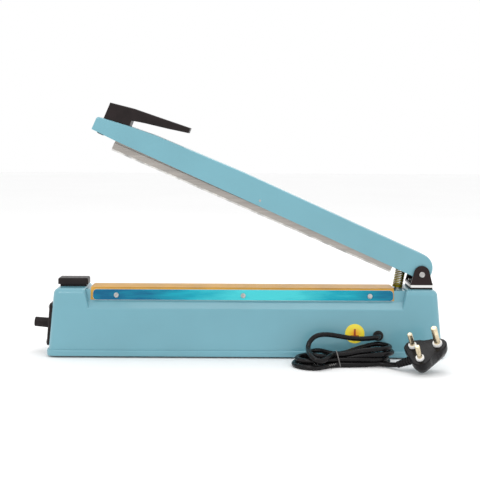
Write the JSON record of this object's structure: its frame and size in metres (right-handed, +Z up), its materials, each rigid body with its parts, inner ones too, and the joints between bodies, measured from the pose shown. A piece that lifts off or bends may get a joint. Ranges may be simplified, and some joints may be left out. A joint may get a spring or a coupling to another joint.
{
  "type": "impulse heat sealer",
  "caption": "Hand impulse sealer: a hinged arm presses a floating bar onto a heated bed; mains cord in a hank.",
  "frame": {"origin": "middle of the footprint on the surface it stands on, cord and plug not counted", "axes": "+X along the body towards the hinge, -Y the front with the mains cord, +Z up"},
  "size_m": [0.5574, 0.1828, 0.34],
  "materials": {
    "body_paint": "satin light blue enamel",
    "zinc_steel": "zinc plated steel",
    "bright_steel": "polished steel",
    "yellow_zinc": "yellow zinc plated spring wire",
    "extrusion": "mill finish extrusion",
    "black_steel": "black enamel",
    "black_rubber": "matt black rubber",
    "black_plastic": "black moulded plastic",
    "lamp_red": "clear red lens",
    "pot_metal": "tinned steel",
    "bakelite": "brown phenolic board",
    "glass_tape": "white glass cloth tape",
    "nichrome": "flat nickel chrome strip",
    "brass": "bare brass",
    "ptfe_cloth": "golden brown coated glass cloth",
    "blue_film": "blue peel-off film",
    "silicone": "white silicone rubber",
    "core_steel": "varnished laminations",
    "coil_tape": "yellow coil tape",
    "board_green": "green circuit board",
    "component_black": "relay and capacitor cases",
    "nylon": "natural nylon",
    "wire_red": "silicone wire",
    "disc_yellow": "printed vinyl disc",
    "cord_black": "black cord sheath",
    "pin_nickel": "plated brass pins",
    "collar_white": "white moulded collars"
  },
  "bodies": {
    "base": {"base_shell": "body_paint", "bottom_plate": "zinc_steel", "rubber_feet": "black_rubber", "case_screws": "zinc_steel", "dial_panel": "black_plastic", "dial_panel_screws": "zinc_steel", "indicator_lamp": "lamp_red", "potentiometer": "pot_metal", "sealing_bed": "bakelite", "underlay_tape": "glass_tape", "heating_element": "nichrome", "element_blocks": "brass", "element_leads": "wire_red", "ptfe_cover": "ptfe_cloth", "retaining_strip_front": "extrusion", "retaining_strip_rear": "extrusion", "strip_films": "blue_film", "strip_screws": "zinc_steel", "hinge_pad": "black_rubber", "hinge_plate": "extrusion", "hinge_bracket": "black_steel", "hinge_screws": "zinc_steel", "hinge_pin": "bright_steel", "hinge_clip": "bright_steel", "spring_post": "zinc_steel", "arm_spring": "yellow_zinc", "switch_guide": "black_plastic", "cap_spring": "yellow_zinc", "micro_switch": "black_plastic", "switch_bracket": "zinc_steel", "switch_screws": "zinc_steel", "transformer_core": "core_steel", "transformer_coil": "coil_tape", "transformer_strap": "zinc_steel", "timer_board": "board_green", "board_standoffs": "nylon", "board_components": "component_black", "cord_grommet": "black_rubber", "warning_disc": "disc_yellow", "earth_stud": "zinc_steel", "cord_lead": "cord_black", "cord_hank": "cord_black", "cord_tail": "cord_black", "plug_relief": "cord_black", "plug_body": "cord_black", "plug_pins": "pin_nickel", "plug_collars": "collar_white"},
    "arm": {"arm_shell": "body_paint", "handle": "black_plastic", "handle_screws": "zinc_steel", "switch_striker": "black_rubber", "spring_seat": "zinc_steel", "press_bar_pin": "bright_steel"},
    "press_bar": {"press_bar": "extrusion", "silicone_strip": "silicone"},
    "switch_cap": {"switch_cap": "black_plastic", "switch_stem": "black_plastic"},
    "switch_lever": {"switch_lever": "zinc_steel"},
    "timer_knob": {"timer_knob": "black_plastic", "dial_shaft": "bright_steel"}
  },
  "joints": [
    {"name": "arm_hinge", "type": "hinge", "parent": "base", "child": "arm", "pos_m": [0.24874, 0, 0.112], "axis": [0, 1, 0], "range_deg": [-24.2, 0], "stiffness_Nm_per_rad": 10, "springref_deg": 20.05, "deforming": ["arm_spring"]},
    {"name": "press_bar_rock", "type": "hinge", "parent": "arm", "child": "press_bar", "pos_m": [0.02983, 0, 0.21038], "axis": [0, 1, 0], "range_deg": [0, 0.77]},
    {"name": "switch_cap_slide", "type": "slide", "parent": "base", "child": "switch_cap", "axis": [0, 0, -1], "range_m": [0, 0.0025], "stiffness_N_per_m": 800, "springref_m": -0.001, "deforming": ["cap_spring"]},
    {"name": "switch_lever_turn", "type": "hinge", "parent": "base", "child": "switch_lever", "pos_m": [-0.23796, 0, 0.0765], "axis": [0, 1, 0], "range_deg": [0, 10]},
    {"name": "timer_knob_turn", "type": "hinge", "parent": "base", "child": "timer_knob", "pos_m": [-0.25128, 0, 0.039], "axis": [-0.9962, 0, 0.0872], "range_deg": [-140, 140]}
  ],
  "couplings": [
    {"joint": "press_bar_rock", "follows": "arm_hinge", "ratio": -0.031405},
    {"joint": "switch_lever_turn", "follows": "switch_cap_slide", "rad_per_m": 68.966}
  ]
}
